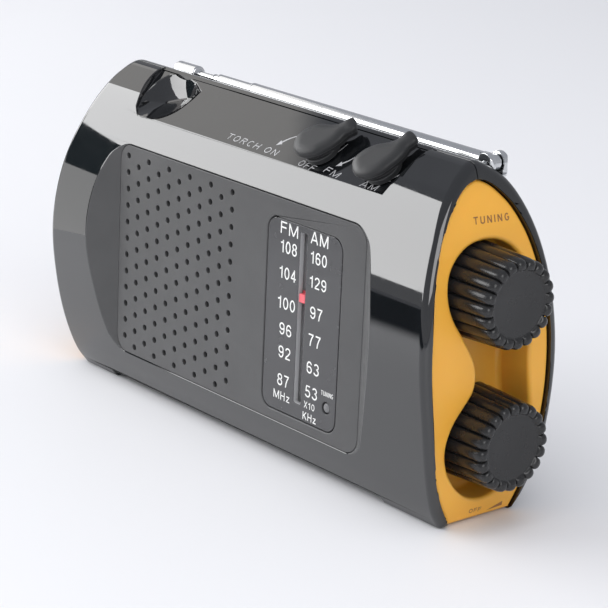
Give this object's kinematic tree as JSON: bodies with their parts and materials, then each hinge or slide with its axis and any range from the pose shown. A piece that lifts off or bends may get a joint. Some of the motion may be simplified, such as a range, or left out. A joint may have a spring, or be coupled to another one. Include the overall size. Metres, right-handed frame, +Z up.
{
  "type": "emergency radio",
  "caption": "Arch-shaped portable emergency radio with slide-rule dial, speaker grille, tuning and volume knobs, selector levers, telescopic aerial, crank generator and torch.",
  "frame": {"origin": "on the table, under the middle of the object's bounding box with the aerial folded", "axes": "+X along the case towards the knob end, -Y out of the dial side, +Z up"},
  "size_m": [0.182, 0.0466, 0.0996],
  "materials": {
    "gloss_black": "high gloss",
    "dark_grey": "matt with a fine grain",
    "knob_black": "satin",
    "amber": "satin",
    "chrome": "polished",
    "steel": "zinc plated",
    "brass": "plain",
    "red": "gloss",
    "light_grey": "matt",
    "off_white": "satin",
    "board_green": "satin",
    "black_paper": "matt",
    "cone_paper": "matt",
    "ferrite": "matt",
    "clear": "clear",
    "cell_wrap": "shrink wrap"
  },
  "bodies": {
    "case": {"front_shell": "gloss_black", "rear_shell": "gloss_black", "knob_end_plate": "amber", "torch_end_plate": "amber", "torch_bezel": "dark_grey", "torch_lens": "clear", "torch_reflector": "chrome", "torch_led": "off_white", "front_panel": "dark_grey", "dial_plate": "dark_grey", "tuning_led": "red", "dial_backing": "light_grey", "dial_cord": "off_white", "volume_pot": "steel", "tuning_capacitor": "off_white", "main_board": "board_green", "torch_switch": "black_paper", "band_switch": "black_paper", "speaker_frame": "steel", "speaker_cone": "cone_paper", "speaker_magnet": "ferrite", "dynamo_housing": "steel", "gear_plate": "steel", "ferrite_rod": "ferrite", "reception_coil": "brass", "battery_box": "black_paper", "battery_1": "cell_wrap", "battery_2": "cell_wrap", "charge_cell_pack": "cell_wrap", "case_screw_1": "steel", "case_screw_2": "steel", "case_screw_3": "steel", "case_screw_4": "steel"},
    "tuning": {"tuning_knob": "knob_black", "tuning_shaft": "brass", "tuning_drum": "off_white"},
    "pointer": {"dial_pointer": "red"},
    "volume": {"volume_knob": "knob_black", "volume_shaft": "brass"},
    "torch_selector": {"torch_lever": "dark_grey"},
    "band_selector": {"band_lever": "dark_grey"},
    "crank": {"crank_arm": "dark_grey", "crank_shaft": "steel", "crank_gear": "off_white", "grip_pin": "steel"},
    "grip_arm": {"grip_core": "steel"},
    "grip": {"crank_grip": "knob_black"},
    "idler": {"idler_gear": "off_white"},
    "rotor": {"dynamo_rotor": "steel"},
    "aerial_foot": {"aerial_base": "chrome", "aerial_nut": "steel", "aerial_pin": "steel"},
    "aerial_1": {"aerial_tube_1": "chrome"},
    "aerial_2": {"aerial_tube_2": "chrome"},
    "aerial_3": {"aerial_tube_3": "chrome"},
    "aerial_4": {"aerial_rod": "chrome"},
    "battery_cover": {"battery_door": "dark_grey"}
  },
  "joints": [
    {"name": "tuning_turn", "type": "hinge", "parent": "case", "child": "tuning", "pos_m": [0.08, 0.00065, 0.0619], "axis": [1, 0, 0], "range_deg": [-132, 228]},
    {"name": "pointer_slide", "type": "slide", "parent": "case", "child": "pointer", "axis": [0, 0.0288, 0.9996], "range_m": [-0.0279, 0.0162]},
    {"name": "volume_turn", "type": "hinge", "parent": "case", "child": "volume", "pos_m": [0.08, 0.00065, 0.0234], "axis": [1, 0, 0], "range_deg": [0, 280]},
    {"name": "torch_lever_turn", "type": "hinge", "parent": "case", "child": "torch_selector", "pos_m": [0.02024, -0.00695, 0.08825], "axis": [0, -0.6293, 0.7771], "range_deg": [0, 70]},
    {"name": "band_lever_turn", "type": "hinge", "parent": "case", "child": "band_selector", "pos_m": [0.04544, -0.00695, 0.08825], "axis": [0, -0.6293, 0.7771], "range_deg": [0, 46]},
    {"name": "crank_spin", "type": "hinge", "parent": "case", "child": "crank", "pos_m": [-0.01636, 0.015, 0.045], "axis": [0, 1, 0], "continuous": true},
    {"name": "grip_fold", "type": "hinge", "parent": "crank", "child": "grip_arm", "pos_m": [0.01314, 0.01935, 0.045], "axis": [0, 0, -1], "range_deg": [0, 90]},
    {"name": "grip_spin", "type": "hinge", "parent": "grip_arm", "child": "grip", "pos_m": [0, 0.01935, 0.045], "axis": [1, 0, 0], "continuous": true},
    {"name": "idler_spin", "type": "hinge", "parent": "case", "child": "idler", "pos_m": [0.00264, 0.005, 0.045], "axis": [0, 1, 0], "continuous": true},
    {"name": "rotor_spin", "type": "hinge", "parent": "case", "child": "rotor", "pos_m": [0.01607, 0, 0.03157], "axis": [0, 1, 0], "continuous": true},
    {"name": "aerial_swivel", "type": "hinge", "parent": "case", "child": "aerial_foot", "pos_m": [0.06804, 0.01005, 0.09], "axis": [0, 0, 1], "range_deg": [-150, 0]},
    {"name": "aerial_tilt", "type": "hinge", "parent": "aerial_foot", "child": "aerial_1", "pos_m": [0.06804, 0.01005, 0.09295], "axis": [0, 1, 0], "range_deg": [0, 90]},
    {"name": "aerial_slide_2", "type": "slide", "parent": "aerial_1", "child": "aerial_2", "axis": [-1, 0, 0], "range_m": [0, 0.075]},
    {"name": "aerial_slide_3", "type": "slide", "parent": "aerial_2", "child": "aerial_3", "axis": [-1, 0, 0], "range_m": [0, 0.08]},
    {"name": "aerial_slide_4", "type": "slide", "parent": "aerial_3", "child": "aerial_4", "axis": [-1, 0, 0], "range_m": [0, 0.08]},
    {"name": "battery_door_lift", "type": "slide", "parent": "case", "child": "battery_cover", "axis": [0, 0, -1], "range_m": [0, 0.02]}
  ],
  "couplings": [
    {"joint": "pointer_slide", "follows": "tuning_turn", "m_per_rad": -0.007},
    {"joint": "idler_spin", "follows": "crank_spin", "ratio": -2.8},
    {"joint": "rotor_spin", "follows": "crank_spin", "ratio": 7.84}
  ]
}
